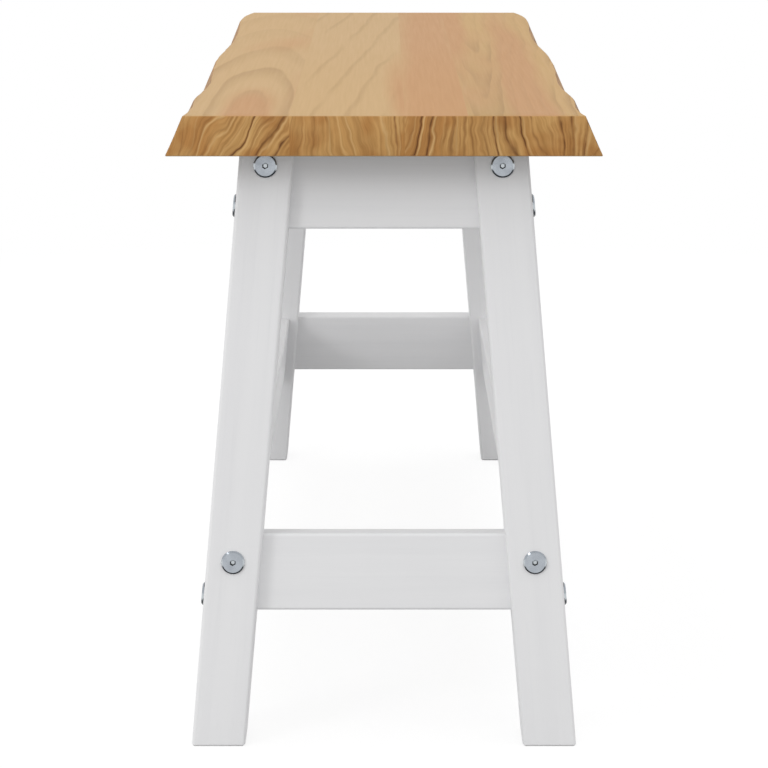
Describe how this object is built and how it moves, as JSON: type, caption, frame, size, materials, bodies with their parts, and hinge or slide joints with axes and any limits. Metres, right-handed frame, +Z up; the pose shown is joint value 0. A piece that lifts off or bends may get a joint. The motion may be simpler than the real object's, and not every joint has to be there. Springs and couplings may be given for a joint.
{
  "type": "dining bench",
  "caption": "Backless dining bench with a waney-edged glued pine seat on a white painted frame of splayed square legs, aprons and stretchers joined by bolts and dowels.",
  "frame": {"origin": "on the floor under the middle of the seat", "axes": "+Z up, +Y along the bench's length from the front end to the back end, +X across to the right"},
  "size_m": [0.3002, 0.9, 0.45],
  "materials": {
    "seat_pine": "stained satin pine",
    "white_paint": "white satin paint on pine",
    "zinc_steel": "zinc plated",
    "bracket_steel": "zinc plated",
    "dowel_beech": "raw beech"
  },
  "bodies": {
    "root": {"apron_screws": "zinc_steel", "end_apron_back": "white_paint", "end_apron_dowels": "dowel_beech", "end_apron_front": "white_paint", "end_apron_nuts": "zinc_steel", "end_rail_bolts_lower": "zinc_steel", "end_rail_bolts_upper": "zinc_steel", "end_stretcher_back": "white_paint", "end_stretcher_dowels": "dowel_beech", "end_stretcher_front": "white_paint", "end_stretcher_nuts": "zinc_steel", "leg_back_left": "white_paint", "leg_back_right": "white_paint", "leg_front_left": "white_paint", "leg_front_right": "white_paint", "seat_brackets": "bracket_steel", "seat_screws": "zinc_steel", "seat_stave_1": "seat_pine", "seat_stave_2": "seat_pine", "seat_stave_3": "seat_pine", "seat_stave_4": "seat_pine", "side_apron_dowels": "dowel_beech", "side_apron_left": "white_paint", "side_apron_nuts": "zinc_steel", "side_apron_right": "white_paint", "side_rail_bolts_lower": "zinc_steel", "side_rail_bolts_upper": "zinc_steel", "side_stretcher_dowels": "dowel_beech", "side_stretcher_left": "white_paint", "side_stretcher_nuts": "zinc_steel", "side_stretcher_right": "white_paint"}
  },
  "joints": []
}
